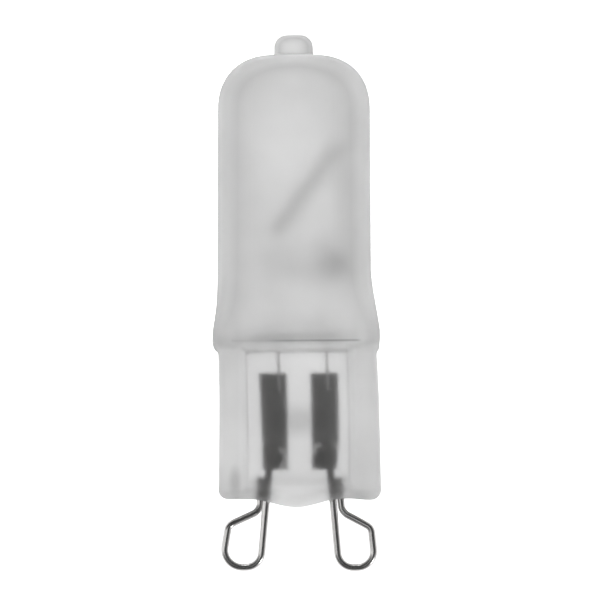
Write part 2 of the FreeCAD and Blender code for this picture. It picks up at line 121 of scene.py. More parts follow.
# %% Etched quartz: pits
QUARTZ_IOR = 1.46
PITS_PER_MM, PIT_DEPTH = 9.0, 0.01 * MM
CLOUDS_PER_MM = 0.13

# Acid-etched quartz: a satin, milky white that blurs everything behind it.
etched, tree, shader = material("etched_quartz")
place = add(tree, "ShaderNodeTexCoord")
pits = add(tree, "ShaderNodeTexNoise",
           {"Scale": PITS_PER_MM / MM, "Detail": 2.0, "Roughness": 0.6},
           {"Vector": place.outputs["Object"]})
relief = add(tree, "ShaderNodeBump", {"Strength": 0.25, "Distance": PIT_DEPTH},
             {"Height": pits.outputs["Fac"]})
drift = add(tree, "ShaderNodeTexNoise", {"Scale": CLOUDS_PER_MM / MM, "Detail": 2.0},
            {"Vector": place.outputs["Object"]})
uneven = add(tree, "ShaderNodeMapRange", {"To Min": 0.58, "To Max": 0.68},
             {"Value": drift.outputs["Fac"]})
shader.inputs["IOR"].default_value = QUARTZ_IOR
shader.inputs["Transmission Weight"].default_value = 0.79
tree.links.new(uneven.outputs["Result"], shader.inputs["Roughness"])
tree.links.new(relief.outputs["Normal"], shader.inputs["Normal"])
print("made", etched.name)

# %% [markdown]
# ## Etched quartz: tones and painted shade of the tube and the pinch
# Where the eye looks along the tube's wall and not straight through it, the colour is painted
# darker, as painted shade, and at the very edge it is painted light again, as a painted glow: a
# Layer Weight node measures that angle. The pressed foot has no such wall. It gets an even tone,
# with painted shade that makes it a little greyer over its thick rails, and gives way to the tube's
# tones over the flare.
# Each tone is a separate grey, kept in a list. At the end they are multiplied,
# as a painter lays thin washes over each other.

# %% Etched quartz: tones and painted shade of the tube and the pinch
# Painted shade where the eye looks along the wall, and a painted glow at its very edge.
WALL_SHADE_AND_GLOW = ((0.0, "#EEEEEE"), (0.1, "#E8E8E8"), (0.33, "#D3D3D3"), (0.48, "#E6E6E6"),
              (0.75, "#F0F0F0"), (1.0, "#FFFFFF"))
PRESSED_UP_TO, BLOWN_FROM = 12.5 * MM, 16.5 * MM
WEB_UP_TO, RAIL_FROM = 4.2 * MM, 4.76 * MM

clouds = add(tree, "ShaderNodeValToRGB", {"stops": ((0.35, "#F0F0F0"), (0.65, "#FFFFFF"))},
             {"Fac": drift.outputs["Fac"]})
glancing = add(tree, "ShaderNodeLayerWeight", {"Blend": 0.5})
wall_shade_and_glow = add(tree, "ShaderNodeValToRGB", {"stops": WALL_SHADE_AND_GLOW}, {"Fac": glancing.outputs["Facing"]})
sides = add(tree, "ShaderNodeSeparateXYZ", {}, {"Vector": place.outputs["Object"]})
beside = add(tree, "ShaderNodeMath", {"operation": "ABSOLUTE"}, {0: sides.outputs["X"]})
# Painted shade: the thick rails are painted a little greyer than the web.
rail = add(tree, "ShaderNodeMapRange", {"From Min": WEB_UP_TO, "From Max": RAIL_FROM},
           {"Value": beside.outputs[0]})
pressed = add(tree, "ShaderNodeValToRGB", {"stops": ((0.0, "#E7E7E7"), (1.0, "#DEDEDE"))},
              {"Fac": rail.outputs["Result"]})
blown = add(tree, "ShaderNodeMapRange",
            {"interpolation_type": "SMOOTHSTEP", "From Min": PRESSED_UP_TO, "From Max": BLOWN_FROM},
            {"Value": sides.outputs["Y"]})
body = add(tree, "ShaderNodeMix", {"data_type": "RGBA"},
           {0: blown.outputs["Result"], 6: pressed.outputs["Color"], 7: wall_shade_and_glow.outputs["Color"]})
washes = [clouds.outputs["Color"], body.outputs[2]]
print("tones", len(washes))

# %% [markdown]
# ## Etched quartz: painted shade in the crease
# A fine dark line of painted shade lies along the crease where the jaws closed the tube, and it
# fades to the left. The crease could be cut into the mesh, but it has no depth that the eye could
# see, so its shade is a tone: dark in the middle of a band of height, and turned back to white
# beyond its ends.

# %% Etched quartz: painted shade in the crease
# The crease's painted shade: its level and half height, where it ends, and where it fades to the
# left, in mm.
CREASE_LEVEL, CREASE_HALF = 12.74 * MM, 0.132 * MM
CREASE_UP_TO, CREASE_GONE = 4.8 * MM, 5.3 * MM
FAINT_FROM, FAINT_AT = -0.5 * MM, -2.5 * MM

band = add(tree, "ShaderNodeMapRange",
           {"From Min": CREASE_LEVEL - CREASE_HALF, "From Max": CREASE_LEVEL + CREASE_HALF},
           {"Value": sides.outputs["Y"]})
line = add(tree, "ShaderNodeValToRGB",
           {"stops": ((0.0, "#FFFFFF"), (0.5, "#B4B4B4"), (1.0, "#FFFFFF"))},
           {"Fac": band.outputs["Result"]})
ends = add(tree, "ShaderNodeMapRange",
           {"interpolation_type": "SMOOTHSTEP", "From Min": CREASE_UP_TO, "From Max": CREASE_GONE},
           {"Value": beside.outputs[0]})
faint = add(tree, "ShaderNodeMapRange",
            {"From Min": FAINT_FROM, "From Max": FAINT_AT, "To Max": 0.75},
            {"Value": sides.outputs["X"]})
fade = add(tree, "ShaderNodeMath", {"operation": "MAXIMUM"},
           {0: ends.outputs["Result"], 1: faint.outputs["Result"]})
# Painted shade of the crease, turned back to white beyond its ends and towards the left.
crease_shade = add(tree, "ShaderNodeMix", {"data_type": "RGBA", 7: colour("#FFFFFF")},
             {0: fade.outputs[0], 6: line.outputs["Color"]})
washes.append(crease_shade.outputs[2])
print("tones", len(washes))

# %% [markdown]
# ## Etched quartz: darker ovals
# Four soft darker ovals lie on the pinch: one over the middle of the web, one on the lower-left
# rail, and two along the foot, which are painted shade along its bottom edge. Each is an oval: the
# Mapping node moves and squeezes the place so that the oval becomes a circle of radius 1, and the
# tone fades over that radius.

# %% Etched quartz: darker ovals
# Each oval has its middle, its half size, both in mm, and its tone; the last two are painted shade
# along the foot.
DARK_OVALS_AND_FOOT_SHADE = (((0.1, 6.3), (2.6, 1.7), "#E3E3E3"), ((-5.0, 1.5), (0.6, 1.5), "#DADADA"),
           ((-4.0, 0.1), (2.8, 0.8), "#D8D8D8"), ((4.8, 0.1), (1.8, 0.8), "#D8D8D8"))

# Each oval darkens the base colour; the two along the foot are painted shade.
for (x, y), (half_width, half_height), tone in DARK_OVALS_AND_FOOT_SHADE:
    oval = add(tree, "ShaderNodeMapping",
               {"vector_type": "TEXTURE", "Location": (x * MM, y * MM, 0),
                "Scale": (half_width * MM, half_height * MM, 1)},
               {"Vector": place.outputs["Object"]})
    apart = add(tree, "ShaderNodeVectorMath", {"operation": "LENGTH"}, {0: oval.outputs["Vector"]})
    dark_oval = add(tree, "ShaderNodeValToRGB", {"stops": ((0.3, tone), (1.0, "#FFFFFF"))},
                 {"Fac": apart.outputs["Value"]})
    washes.append(dark_oval.outputs["Color"])

base = washes[0]
for wash in washes[1:]:
    layer = add(tree, "ShaderNodeMix", {"data_type": "RGBA", "blend_type": "MULTIPLY", 0: 1.0},
                {6: base, 7: wash})
    base = layer.outputs[2]
tree.links.new(base, shader.inputs["Base Color"])
print("tones laid over each other", len(washes))

# %% [markdown]
# ## Quartz inside the tube
# The inner skin of the tube and the small rod in it are never etched, so they are nearly smooth and
# let all the light through. The inner skin carries painted grey shade that grows where the eye
# looks along it. The rod is painted grey towards its right end, painted shade that makes its shadow
# darkest there.

# %% Quartz inside the tube
ROD_SHADE_FROM, ROD_SHADE_FULL = 1.8 * MM, 3.4 * MM

# The tube's inner skin: clear, with painted grey shade that grows at a grazing look.
cavity_skin, tree, shader = material("clear_inner_quartz_painted_edge_shade")
glancing = add(tree, "ShaderNodeLayerWeight", {"Blend": 0.5})
edge_shade = add(tree, "ShaderNodeValToRGB",
           {"stops": ((0.0, "#FFFFFF"), (0.6, "#FCFCFC"), (1.0, "#DADADA"))},
           {"Fac": glancing.outputs["Facing"]})
tree.links.new(edge_shade.outputs["Color"], shader.inputs["Base Color"])
shader.inputs["Roughness"].default_value = 0.05
shader.inputs["IOR"].default_value = QUARTZ_IOR
shader.inputs["Transmission Weight"].default_value = 1.0

# Drawn quartz rod: clear glass, seen as little more than its own dark edges.
rod_quartz, tree, shader = material("quartz_rod_painted_shade")
place = add(tree, "ShaderNodeTexCoord")
sides = add(tree, "ShaderNodeSeparateXYZ", {}, {"Vector": place.outputs["Object"]})
# Painted shade: the rod turns grey towards its right end, so that its shadow is darkest there.
rod_shade = add(tree, "ShaderNodeMapRange",
           {"interpolation_type": "SMOOTHSTEP", "From Min": ROD_SHADE_FROM, "From Max": ROD_SHADE_FULL},
           {"Value": sides.outputs["X"]})
grey = add(tree, "ShaderNodeValToRGB", {"stops": ((0.0, "#F4F4F4"), (1.0, "#AEAEAE"))},
           {"Fac": rod_shade.outputs["Result"]})
tree.links.new(grey.outputs["Color"], shader.inputs["Base Color"])
shader.inputs["Roughness"].default_value = 0.08
shader.inputs["IOR"].default_value = QUARTZ_IOR
shader.inputs["Transmission Weight"].default_value = 1.0
print("made", cavity_skin.name, rod_quartz.name)

# %% [markdown]
# ## The metals
# The loops are nickel-bright wire, drawn through a die: a near mirror with
# hair-thin lines along its length. The foils are rolled molybdenum, duller,
# with streaks along the rolling. The leads and the filament are tungsten,
# slightly rough from the heat.
# Fine lines are noise that is squeezed across the metal and stretched along
# it. Each wire will carry an attribute named drawn, the place round and along
# it, so that its lines follow every bend. The foils are flat and straight, so
# theirs follow the plain place on the object.
# The real lines are finer than a pixel, so these are drawn as coarse as they
# need to be to show.


# %% Metals
def metal(name, code, rough, grain, attribute=None):
    """A metal with fine lines, in a roughness between two numbers."""
    made, tree, shader = material(name)
    if attribute:
        place = add(tree, "ShaderNodeAttribute", {"attribute_name": attribute})
        where = place.outputs["Vector"]
    else:
        place = add(tree, "ShaderNodeTexCoord")
        where = place.outputs["Object"]
    stretch = add(tree, "ShaderNodeMapping", {"Scale": grain}, {"Vector": where})
    lines = add(tree, "ShaderNodeTexNoise", {"Scale": 1.0, "Detail": 3.0},
                {"Vector": stretch.outputs["Vector"]})
    sheen = add(tree, "ShaderNodeMapRange", {"To Min": rough[0], "To Max": rough[1]},
                {"Value": lines.outputs["Fac"]})
    relief = add(tree, "ShaderNodeBump", {"Strength": 0.15, "Distance": 0.004 * MM},
                 {"Height": lines.outputs["Fac"]})
    shader.inputs["Base Color"].default_value = colour(code)
    shader.inputs["Metallic"].default_value = 1.0
    tree.links.new(sheen.outputs["Result"], shader.inputs["Roughness"])
    tree.links.new(relief.outputs["Normal"], shader.inputs["Normal"])
    return made


# How many lines there are to the wire's radius, twice, and to the metre along it.
WIRE_GRAIN, LEAD_GRAIN = (9.0, 9.0, 0.9 / MM), (6.0, 6.0, 0.7 / MM)
# How many streaks there are to the metre across the foil, along it and through it.
ROLLED_GRAIN = (9.0 / MM, 0.5 / MM, 9.0 / MM)

# Bright nickel: pale, nearly a mirror, so it shows the dark room above it.
nickel = metal("drawn_nickel_wire", "#C4C3C2", (0.18, 0.34), WIRE_GRAIN, "drawn")
# The same wire where it was sealed in hot glass: dull and dark from the heat.
sealed_wire = metal("heat_darkened_wire", "#5A5856", (0.4, 0.6), WIRE_GRAIN, "drawn")
# Rolled molybdenum: mid grey with soft streaks along the foil.
molybdenum = metal("rolled_molybdenum", "#747372", (0.4, 0.6), ROLLED_GRAIN)
# Tungsten leads: ground bright before they are sealed in.
tungsten = metal("ground_tungsten", "#E6E5E4", (0.35, 0.5), LEAD_GRAIN, "drawn")
# The coil: tungsten again, greyed by its first burning.
coil_tungsten = metal("burnt_tungsten", "#A09E9C", (0.35, 0.5), LEAD_GRAIN, "drawn")
print("made", nickel.name, sealed_wire.name, molybdenum.name, tungsten.name, coil_tungsten.name)

# %% [markdown]
# ## The stain round each weld
# Each loop's wire is welded to its foil, and the heat burns the foil dark there,
# with a paler ring where it ended. The tone depends on how far a spot lies from
# the weld, made a little ragged by noise. One weld's place does for both foils,
# because the place is mirrored first. The stain is drawn stronger than it is,
# so that it still shows through the etched glass.

# %% Weld stains
WELD_PLACE = (2.3 * MM, 3.1 * MM, 0.3 * MM)
RAGS_PER_MM, RAG_REACH = 0.9, 1.2 * MM
STAIN_FROM, STAIN_TO = 1.0 * MM, 3.0 * MM
STAIN_TONES = ((0.3, "#141312"), (0.4, "#F0EFEE"), (0.5, "#F0EFEE"), (0.6, "#747372"))

tree = molybdenum.node_tree
place = add(tree, "ShaderNodeTexCoord")
mirrored = add(tree, "ShaderNodeVectorMath", {"operation": "ABSOLUTE"},
               {0: place.outputs["Object"]})
reach = add(tree, "ShaderNodeVectorMath", {"operation": "DISTANCE", 1: WELD_PLACE},
            {0: mirrored.outputs["Vector"]})
ragged = add(tree, "ShaderNodeTexNoise", {"Scale": RAGS_PER_MM / MM, "Detail": 2.0},
             {"Vector": place.outputs["Object"]})
heat = add(tree, "ShaderNodeMath", {"operation": "MULTIPLY_ADD", 1: RAG_REACH},
           {0: ragged.outputs["Fac"], 2: reach.outputs["Value"]})
spread = add(tree, "ShaderNodeMapRange", {"From Min": STAIN_FROM, "From Max": STAIN_TO},
             {"Value": heat.outputs[0]})
burnt = add(tree, "ShaderNodeValToRGB", {"stops": STAIN_TONES}, {"Fac": spread.outputs["Result"]})
tree.links.new(burnt.outputs["Color"], tree.nodes["Principled BSDF"].inputs["Base Color"])
print("stained", molybdenum.name)

# %% [markdown]
# ## From mesh to piece
# No pressed bulb is quite straight: the jaws close on soft glass and leave the
# foot a fifth of a millimetre to one side of the tube. A short table says how
# far aside the lamp's line runs at each level, and every piece is moved by it,
# so that what is sealed in the glass goes with the glass.
# Then each piece ends the same way: it becomes an object at the origin with its place in the mesh,
# it rides on the model's one body, and the measured piece that it stands for is hidden.


# %% Piece helper
def smooth(share):
    """An even step from 0 to 1 with soft ends."""
    share = min(1.0, max(0.0, share))
    return share * share * (3 - 2 * share)


ASIDE = ((-6.0, 0.2), (5.0, 0.205), (8.0, 0.19), (10.0, 0.14), (11.7, 0.08), (12.4, -0.03),
         (13.4, 0.0), (15.0, 0.0), (18.4, -0.14), (24.0, -0.1), (37.4, -0.08))


def aside(level):
    """How far the lamp's line runs to the right at a level, both in mm."""
    for (low, first), (high, second) in zip(ASIDE, ASIDE[1:]):
        if level <= high:
            return first + (second - first) * smooth((level - low) / (high - low))
    return ASIDE[-1][1]


def piece(mesh, name, stands_for, slot, *materials):
    """Turns a finished mesh into an object that stands for one measured piece."""
    for vertex in mesh.verts:
        vertex.co.x += aside(vertex.co.y / MM) * MM
    data = bpy.data.meshes.new(name)
    mesh.to_mesh(data)
    mesh.free()
    data.shade_smooth()
    for finish in materials:
        data.materials.append(finish)
    made = bpy.data.objects.new(name, data)
    bpy.context.collection.objects.link(made)
    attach(made, "root")
    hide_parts(stands_for)
    print(name, len(data.polygons), "faces")


# %% [markdown]
# ## The quartz envelope: dome and tube
# A glass worker closes the tube on a lathe, so we turn it too. A wire of
# straight runs is the half section. Beveling a vertex of that wire rounds it,
# as a fillet does: over 4.4 mm at the dome's shoulder, a trace where the
# exhaust tip rises and 1 mm over the tip. The shoulder's profile is a little
# above 0.5, because blown glass is squarer than a true arc. One spin round the
# axis makes the skin.
# A second, smaller section makes the wall of the cavity.
# The turned skin is then cut lengthwise, as one cuts an orange, where the
# pressed foot will need closer columns. Each vertex keeps its angle round the
# axis in a layer, because the next step moves whole rings by that angle.

# %% Turn the dome and the tube
TUBE_START = 18.4
PINCH_POWER = 8.0
CLOSE_COLUMNS = [0.575 + 0.015 * i for i in range(10)]
TURN_STEPS, ROUND_SEGMENTS = 96, 14
# Each corner has its radius, its level and its rounding in mm, and its profile.
OUTER_SECTION = ((6.175, TUBE_START, 0, 0), (6.11, 35.69, 4.4, 0.54), (1.56, 35.69, 0.15, 0.5),
                 (1.56, 37.3, 1.0, 0.5), (0, 37.3, 0, 0))
CAVITY_SECTION = ((5.125, TUBE_START, 0, 0), (5.06, 34.5, 3.3, 0.54), (0, 34.5, 0, 0))


def turned(section):
    """A half section of (radius, level, rounding, profile) corners, spun round the axis."""
    mesh = bmesh.new()
    corners = [mesh.verts.new(Vector((r, y, 0)) * MM) for r, y, rounding, profile in section]
    for first, second in zip(corners, corners[1:]):
        mesh.edges.new((first, second))
    for corner, (r, y, rounding, profile) in zip(corners, section):
        if rounding:
            bmesh.ops.bevel(mesh, geom=[corner], offset=rounding * MM, segments=ROUND_SEGMENTS,
                            profile=profile, affect="VERTICES", material=-1)
    bmesh.ops.spin(mesh, geom=mesh.verts[:] + mesh.edges[:], cent=(0, 0, 0), axis=(0, 1, 0),
                   dvec=(0, 0, 0), angle=math.tau, steps=TURN_STEPS, use_merge=True)
    bmesh.ops.remove_doubles(mesh, verts=mesh.verts, dist=0.0001 * MM)
    for share in CLOSE_COLUMNS:
        for side in (1, -1):
            depth = share / (1 - share ** PINCH_POWER) ** (1 / PINCH_POWER)
            bmesh.ops.bisect_plane(mesh, geom=mesh.verts[:] + mesh.edges[:] + mesh.faces[:],
                                   dist=0.01 * MM, plane_co=(0, 0, 0),
                                   plane_no=Vector((-1, 0, side * depth)))
    turn = mesh.verts.layers.float.new("turn")
    for vertex in mesh.verts:
        vertex[turn] = math.atan2(vertex.co.z, vertex.co.x)
    return mesh


outer = turned(OUTER_SECTION)
cavity = turned(CAVITY_SECTION)
print("turned skins", len(outer.faces), len(cavity.faces), "faces")

# %% [markdown]
# ## The quartz envelope: the flare
# While the foot is hot, two jaws press it flat, and the glass flows sideways.
# Every level of it is a closed ring between a circle and a flat, round-edged
# bar. A superellipse does this with three numbers: half width, half depth and
# a power, 2 for the circle and 8 for the bar. The half widths were read off
# the bulb's outline, and the half depths off the measured model.
# So the open rim is extruded down level by level, and each new ring is placed
# by that rule. The rings could be drawn one by one and bridged, but then the
# columns that were cut before would not run on through them.
# The cavity is drawn down in the same way, to its own flattened floor. The last
# ring there is as thin as a line, so that merging its vertices closes the mesh.

# %% Draw the rings of the flare
# Each ring has its level, half width and half depth in mm, and its power.
FLARE = ((17.6, 6.218, 6.164, 2.0), (16.8, 6.278, 6.054, 2.0), (16.0, 6.366, 5.825, 2.02),
         (15.4, 6.448, 5.56, 2.04), (15.0, 6.508, 5.326, 2.06), (14.4, 6.601, 4.863, 2.12),
         (13.8, 6.7, 4.196, 2.25), (13.5, 6.73, 3.77, 2.35), (13.2, 6.745, 3.287, 2.47),
         (13.0, 6.746, 2.96, 2.53), (12.8, 6.745, 2.649, 2.6), (12.6, 6.735, 2.38, 2.75),
         (12.4, 6.71, 2.15, 2.9), (12.2, 6.665, 1.94, 3.5), (12.0, 6.6, 1.8, 4.5),
         (11.9, 6.53, 1.8, 5.5), (11.8, 6.43, 1.8, 6.5), (11.7, 6.385, 1.8, 7.5),
         (11.6, 6.366, 1.8, PINCH_POWER))
CAVITY_FOOT = ((17.2, 5.19, 5.07, 2.0), (16.0, 5.32, 4.78, 2.02), (15.0, 5.46, 4.27, 2.06),
               (14.4, 5.55, 3.81, 2.12), (13.8, 5.6, 3.18, 2.25), (13.5, 5.58, 2.75, 2.4),
               (13.2, 5.53, 2.2, 2.6), (13.0, 5.42, 1.85, 3.0), (12.88, 5.3, 1.6, 3.5),
               (12.82, 5.2, 1.4, 4.0), (12.8, 5.11, 1.2, 4.0), (12.8, 5.11, 0.0, 4.0))


def pull_rings(mesh, rings):
    """Extrudes the open rim through rings of (level, half width, half depth, power)."""
    turn = mesh.verts.layers.float["turn"]
    for level, half_width, half_depth, power in rings:
        rim = [edge for edge in mesh.edges if edge.is_boundary]
        grown = bmesh.ops.extrude_edge_only(mesh, edges=rim)["geom"]
        for vertex in (g for g in grown if isinstance(g, bmesh.types.BMVert)):
            across, deep = math.cos(vertex[turn]), math.sin(vertex[turn])
            reach = (abs(across) ** power + abs(deep) ** power) ** (-1 / power)
            vertex.co = Vector((half_width * reach * across, level, half_depth * reach * deep)) * MM
    bmesh.ops.remove_doubles(mesh, verts=mesh.verts, dist=0.0001 * MM)


pull_rings(outer, FLARE)
pull_rings(cavity, CAVITY_FOOT)
print("open edges left", sum(edge.is_boundary for mesh in (outer, cavity) for edge in mesh.edges))

# %% [markdown]
# ## The quartz envelope: the pinch
# Below the flare the glass is a flat bar, which widens a little towards its
# end. Its straight rings lie closer where the tray's walls and the rounded end
# begin, because the next step bends the mesh there. The last rings turn in by a
# quarter turn, which rounds the end on all sides at once. An edge bevel could
# do it too, but it has one radius, and this end is rounder on its broad faces.

# %% Draw the rings of the pinch
PINCH_TOP = 11.6
TOP_HALF, END_HALF, HALF_DEPTH = 6.366, 6.54, 1.8
SIDE_ROUND, EDGE_ROUND, ROUND_STEPS = 0.75, 0.9, 8
STRAIGHT_LEVELS = (11.5, 11.42, 11.34, 11.2, 10.8, *(10.2 - 0.6 * i for i in range(14)),
                   1.9, 1.5, 1.25, *(1.15 - 0.07 * i for i in range(5)), 0.81)


def pinch_rings():
    """The straight rings of the pinch and the quarter turn that rounds its end."""
    rings = []
    for level in STRAIGHT_LEVELS:
        half_width = END_HALF + (TOP_HALF - END_HALF) * level / PINCH_TOP
        rings.append((level, half_width, HALF_DEPTH, PINCH_POWER))
    for i in range(ROUND_STEPS + 1):
        angle = math.radians(90 * i / ROUND_STEPS)
        rings.append((SIDE_ROUND * (1 - math.sin(angle)),
                      END_HALF - SIDE_ROUND * (1 - math.cos(angle)),
                      HALF_DEPTH - EDGE_ROUND * (1 - math.cos(angle)), PINCH_POWER))
    rings.append((0.0, END_HALF - SIDE_ROUND, 0.0, PINCH_POWER))
    return rings


pull_rings(outer, pinch_rings())
print("open edges left", sum(edge.is_boundary for edge in outer.edges))

# %% [markdown]
# ## The quartz envelope: the pressed web
# Each jaw carries a raised block, which leaves a shallow tray in the pinch:
# thick rails at the sides and a thin web over the foils. Its walls lean, so
# that the jaw can pull out.
# A boolean cut would leave sharp edges that hot glass never has. So we press
# the tray in as a displacement: every vertex learns how far it lies inside the
# tray's rounded outline, and sinks to the web over the width of the wall.
# Towards the foot the tray runs out, as the glass there was pushed aside.
# The jaws leave a soft bulge at the foot too, where the glass was squeezed
# out between them, and one lower corner hangs a little.

# %% Press the web and the bulge
TRAY_LEFT, TRAY_RIGHT, TRAY_LOW, TRAY_HIGH, TRAY_CORNER = -4.6, 4.4, 0.75, 12.2, 0.45
WALL_OUT, WALL_WIDTH, WEB_HALF, FOOT_FADE = 0.3, 0.8, 1.05, 2.2
# Each bulge has its middle, its half width and how far it hangs down.
BULGES = ((-0.3, 3.8, 0.66), (5.6, 1.6, 0.12))
BULGE_FADE = 1.5


def inside_tray(x, y):
    """How far a point lies inside the tray's outline, negative outside."""
    across = abs(x - (TRAY_LEFT + TRAY_RIGHT) / 2) - (TRAY_RIGHT - TRAY_LEFT) / 2 + TRAY_CORNER
    along = abs(y - (TRAY_LOW + TRAY_HIGH) / 2) - (TRAY_HIGH - TRAY_LOW) / 2 + TRAY_CORNER
    beyond = math.hypot(max(across, 0), max(along, 0))
    return TRAY_CORNER - beyond - min(max(across, along), 0)


for vertex in outer.verts:
    x, y, z = vertex.co / MM
    if abs(z) > WEB_HALF and y < TRAY_HIGH + WALL_OUT:
        sunk = smooth((inside_tray(x, y) + WALL_OUT) / WALL_WIDTH) * smooth(y / FOOT_FADE)
        vertex.co.z += (math.copysign(WEB_HALF, z) - z) * sunk * MM
    for middle, half, drop in BULGES:
        if y < BULGE_FADE and abs(x - middle) < half:
            swell = 0.5 + 0.5 * math.cos(math.pi * (x - middle) / half)
            vertex.co.y -= drop * swell * (1 - smooth(y / BULGE_FADE)) * MM
print("web pressed, lowest level", round(min(v.co.y for v in outer.verts) / MM, 2), "mm")

# %% [markdown]
# ## The quartz envelope: one solid of glass
# The two skins are joined in one mesh. The cavity's normals are turned over, so that they point out
# of the glass on both sides of the wall; only then does light bend the right way through it. The
# cavity gets the smooth finish with its painted edge shade, and the outside the etched one.

# %% Join the two skins
bmesh.ops.recalc_face_normals(outer, faces=outer.faces)
bmesh.ops.recalc_face_normals(cavity, faces=cavity.faces)
bmesh.ops.reverse_faces(cavity, faces=cavity.faces)
for face in cavity.faces:
    face.material_index = 1
inner_data = bpy.data.meshes.new("cavity_skin")
cavity.to_mesh(inner_data)
cavity.free()
outer.from_mesh(inner_data)
bpy.data.meshes.remove(inner_data)
piece(outer, "frosted_envelope", "quartz_envelope", "frosted_quartz", etched, cavity_skin)

# %% [markdown]
# ## Bent wire
# A bent wire could be a curve with a round bevel, but its section would turn
# as it liked in the bends. A loop is made on a bending machine that feeds
# straight wire and turns it round a pin, and the code does the same. A circle
# is extruded along each straight run and spun a little at a time round the
# centre of each bend.
# The layer named drawn keeps the place round the wire in its first two
# numbers and the length so far in the third.


# %% Wire bender
def bent_wire(route, diameter, sides=24, bend_steps=12):
    """A wire along a route of (x, y, z, bend radius) corners in mm."""
    mesh = bmesh.new()
    drawn = mesh.verts.layers.float_vector.new("drawn")
    corners = [Vector(corner[:3]) * MM for corner in route]
    heading = (corners[1] - corners[0]).normalized()
    facing = heading.to_track_quat("Z", "Y").to_matrix().to_4x4()
    bmesh.ops.create_circle(mesh, cap_ends=True, segments=sides, radius=diameter / 2 * MM,
                            matrix=Matrix.Translation(corners[0]) @ facing)
    for i, vertex in enumerate(mesh.verts):
        vertex[drawn] = (math.cos(math.tau * i / sides), math.sin(math.tau * i / sides), 0)

    def feed(rim, move):
        """Extrudes the rim along a straight run and gives the new rim."""
        grown = bmesh.ops.extrude_edge_only(mesh, edges=rim)["geom"]
        fresh = [g for g in grown if isinstance(g, bmesh.types.BMVert)]
        bmesh.ops.translate(mesh, verts=fresh, vec=move)
        for vertex in fresh:
            vertex[drawn] += Vector((0, 0, move.length))
        return [g for g in grown if isinstance(g, bmesh.types.BMEdge)
                and all(v in fresh for v in g.verts)]

    rim, here = mesh.edges[:], corners[0]
    radii = [corner[3] * MM for corner in route[1:]]
    for before, corner, after, radius in zip(corners, corners[1:], corners[2:], radii):
        heading, leaving = (corner - before).normalized(), (after - corner).normalized()
        turn = heading.angle(leaving)
        reach = radius * math.tan(turn / 2)
        rim = feed(rim, corner - heading * reach - here)
        here = corner - heading * reach
        axis = heading.cross(leaving).normalized()
        centre = here + axis.cross(heading) * radius
        for step in range(bend_steps):
            last = bmesh.ops.spin(mesh, geom=rim, cent=centre, axis=axis, dvec=(0, 0, 0),
                                  angle=turn / bend_steps, steps=1)["geom_last"]
            rim = [g for g in last if isinstance(g, bmesh.types.BMEdge)]
            for vertex in {v for edge in rim for v in edge.verts}:
                vertex[drawn] += Vector((0, 0, turn * radius / bend_steps))
        here = corner + leaving * reach
    rim = feed(rim, corners[-1] - here)
    bmesh.ops.edgeloop_fill(mesh, edges=rim)
    bmesh.ops.recalc_face_normals(mesh, faces=mesh.faces)
    return mesh


print("wire bender ready")

# %% [markdown]
# ## The two contact loops
# Each loop is one stiff wire. It starts on the foil inside the pinch, leaves
# the glass slanting outwards, turns twice round the foot of the loop, and
# comes back up with a slight elbow to end inside the glass again.
# The two are bent by a jig and then pushed about in handling, so they differ
# a little, and each has its own corners here. The end that comes back passes
# just behind the leg that went out.
# The end on the foil was squeezed by the welder's electrodes, so it is made
# wider and flatter, and what is sealed in the glass gets the dark finish. The
# wire is cut across at a few levels first, to have vertices where this needs
# them.

# %% Contact loops
WIRE = 0.6
# Each corner has its x, y, z and bend radius in mm.
LOOPS = {
    "left": ((-2.26, 4.5, 0, 0), (-3.21, -5.5, 0, 1.25), (-6.34, -5.52, 0, 1.4),
             (-5.76, -2.12, 0, 0.75), (-3.24, -1.0, -0.4, 0.95), (-3.14, 1.65, -0.45, 0)),
    "right": ((2.25, 4.5, 0, 0), (3.12, -5.58, 0, 1.25), (6.05, -5.58, 0, 1.3),
              (5.73, -2.39, 0, 0.7), (3.38, -1.14, -0.35, 1.0), (3.12, 1.55, -0.4, 0)),
}
SEALED_FROM, WELD_LOW, WELD_RUN, WELD_FLAT = 0.0, 2.4, 1.2, 0.4
WELD_WIDER = {"left": 0.9, "right": 0.5}
CUT_LEVELS = (SEALED_FROM, *(WELD_LOW + 0.3 * i for i in range(5)), 4.0)

for name, corners in LOOPS.items():
    mesh = bent_wire(corners, WIRE)
    for level in CUT_LEVELS:
        bmesh.ops.bisect_plane(mesh, geom=mesh.verts[:] + mesh.edges[:] + mesh.faces[:],
                               dist=0.001 * MM, plane_co=(0, level * MM, 0), plane_no=(0, 1, 0))
    (x0, y0), (x1, y1) = corners[0][:2], corners[1][:2]
    for vertex in mesh.verts:
        x, y, z = vertex.co / MM
        middle = x0 + (x1 - x0) * (y - y0) / (y1 - y0)
        squeeze = smooth((y - WELD_LOW) / WELD_RUN)
        vertex.co.x = (middle + (x - middle) * (1 + WELD_WIDER[name] * squeeze)) * MM
        vertex.co.z *= 1 - WELD_FLAT * squeeze
    for face in mesh.faces:
        face.material_index = 1 if face.calc_center_median().y > SEALED_FROM else 0
    piece(mesh, "wire_loop_" + name, "contact_loop_" + name, "bright_wire", nickel, sealed_wire)

# %% [markdown]
# ## The two foils
# Quartz hardly grows with heat and metal does, so no wire can pass it tightly.
# A foil of a few hundredths of a millimetre can, because it is thin enough to
# give way, and its long edges are etched to a knife edge. We draw it as a grid
# with a thickness, press its long edges together, and trim the outer edges a
# little crooked, as the shears left them: the left foil evenly along its
# height, the right one only near its foot.

# %% Foils
FOIL_MIDDLE, FOIL_WIDTH, FOIL_HEIGHT, FOIL_FOOT = 2.07, 2.2, 7.8, 2.3
FOIL_Z, FOIL_THICK, TRIM, TRIM_TOP = -0.26, 0.05, 0.2, 0.3

